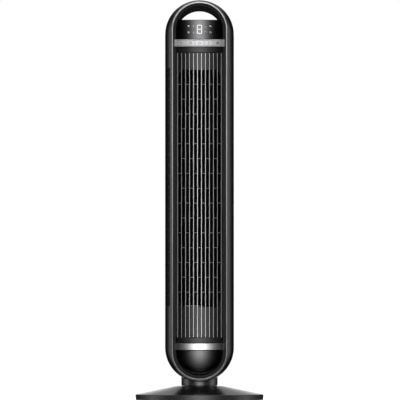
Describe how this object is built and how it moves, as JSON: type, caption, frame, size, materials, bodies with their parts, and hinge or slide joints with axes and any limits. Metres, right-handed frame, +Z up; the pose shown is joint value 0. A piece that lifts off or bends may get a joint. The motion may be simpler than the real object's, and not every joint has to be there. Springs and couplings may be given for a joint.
{
  "type": "tower fan",
  "caption": "Slim oscillating tower fan on a flat round base, with a bowed front grille of upright fins, a display, a row of push keys and a hand hole through the top.",
  "frame": {"origin": "centre of the base on the floor", "axes": "+Z up along the tower, -Y the way the fan faces and blows, +X on its right as one faces it"},
  "size_m": [0.2936, 0.2936, 0.92],
  "materials": {
    "gloss_black": "gloss black moulded plastic",
    "matt_black": "fine-grained matt black plastic",
    "satin_black": "satin black plastic",
    "silver": "silver painted plastic, satin",
    "key_silver": "silver painted plastic, satin",
    "rubber": "soft black rubber",
    "steel": "zinc-plated steel",
    "aluminium": "pressed aluminium",
    "bronze": "sintered bronze and copper winding",
    "nylon": "natural nylon",
    "circuit_board": "green circuit board",
    "ribbon": "grey flat ribbon cable",
    "chassis": "dark grey moulded plastic",
    "impeller_grey": "dark grey glass-filled plastic"
  },
  "bodies": {
    "base": {"base_cover": "gloss_black", "base_plate": "matt_black", "pivot_post": "nylon", "glide_ring": "nylon", "fixed_gear": "nylon", "retaining_washer": "steel", "retaining_clip": "steel", "foot_1": "rubber", "foot_2": "rubber", "foot_3": "rubber", "foot_4": "rubber", "foot_5": "rubber", "post_screw_1": "steel", "post_screw_2": "steel", "post_screw_3": "steel"},
    "tower": {"front_housing": "gloss_black", "rear_housing": "gloss_black", "rear_crown": "gloss_black", "hand_hole_sleeve": "matt_black", "intake_grille": "satin_black", "trim_ring": "silver", "front_bezel": "matt_black", "display_cover": "gloss_black", "control_bar": "silver", "front_grille": "satin_black", "badge_strip": "silver", "lower_cover": "satin_black", "key_mat": "rubber", "display_board": "circuit_board", "digit_module": "matt_black", "power_board": "circuit_board", "display_cable": "ribbon", "cord_gland": "rubber", "upper_bulkhead": "chassis", "lower_bulkhead": "chassis", "scroll_casing": "chassis", "air_tongue": "chassis", "upper_bearing": "bronze", "bearing_bush": "rubber", "motor_can": "aluminium", "motor_cap": "aluminium", "motor_stator": "bronze", "neck": "gloss_black", "swing_motor": "aluminium", "housing_screw_1": "steel", "housing_screw_2": "steel", "housing_screw_3": "steel", "housing_screw_4": "steel"},
    "impeller": {"impeller": "impeller_grey", "motor_shaft": "steel", "motor_rotor": "steel", "impeller_pin": "steel"},
    "swing_pinion": {"swing_pinion": "nylon"},
    "key_1": {"key_1": "key_silver"},
    "key_2": {"key_2": "key_silver"},
    "key_3": {"key_3": "key_silver"},
    "key_4": {"key_4": "key_silver"},
    "key_5": {"key_5": "key_silver"}
  },
  "joints": [
    {"name": "oscillation", "type": "hinge", "parent": "base", "child": "tower", "pos_m": [0, 0, 0.045], "axis": [0, 0, 1], "range_deg": [-45, 45]},
    {"name": "impeller_spin", "type": "hinge", "parent": "tower", "child": "impeller", "pos_m": [0.004, 0.008, 0.487], "axis": [0, 0, 1], "continuous": true},
    {"name": "swing_pinion_spin", "type": "hinge", "parent": "tower", "child": "swing_pinion", "pos_m": [0, 0.022, 0.0425], "axis": [0, 0, 1], "range_deg": [-125, 125]},
    {"name": "key_1_press", "type": "slide", "parent": "tower", "child": "key_1", "axis": [0, 1, 0], "range_m": [0, 0.0008], "stiffness_N_per_m": 600},
    {"name": "key_2_press", "type": "slide", "parent": "tower", "child": "key_2", "axis": [0, 1, 0], "range_m": [0, 0.0008], "stiffness_N_per_m": 600},
    {"name": "key_3_press", "type": "slide", "parent": "tower", "child": "key_3", "axis": [0, 1, 0], "range_m": [0, 0.0008], "stiffness_N_per_m": 600},
    {"name": "key_4_press", "type": "slide", "parent": "tower", "child": "key_4", "axis": [0, 1, 0], "range_m": [0, 0.0008], "stiffness_N_per_m": 600},
    {"name": "key_5_press", "type": "slide", "parent": "tower", "child": "key_5", "axis": [0, 1, 0], "range_m": [0, 0.0008], "stiffness_N_per_m": 600}
  ],
  "couplings": [
    {"joint": "swing_pinion_spin", "follows": "oscillation", "ratio": 2.6667}
  ]
}
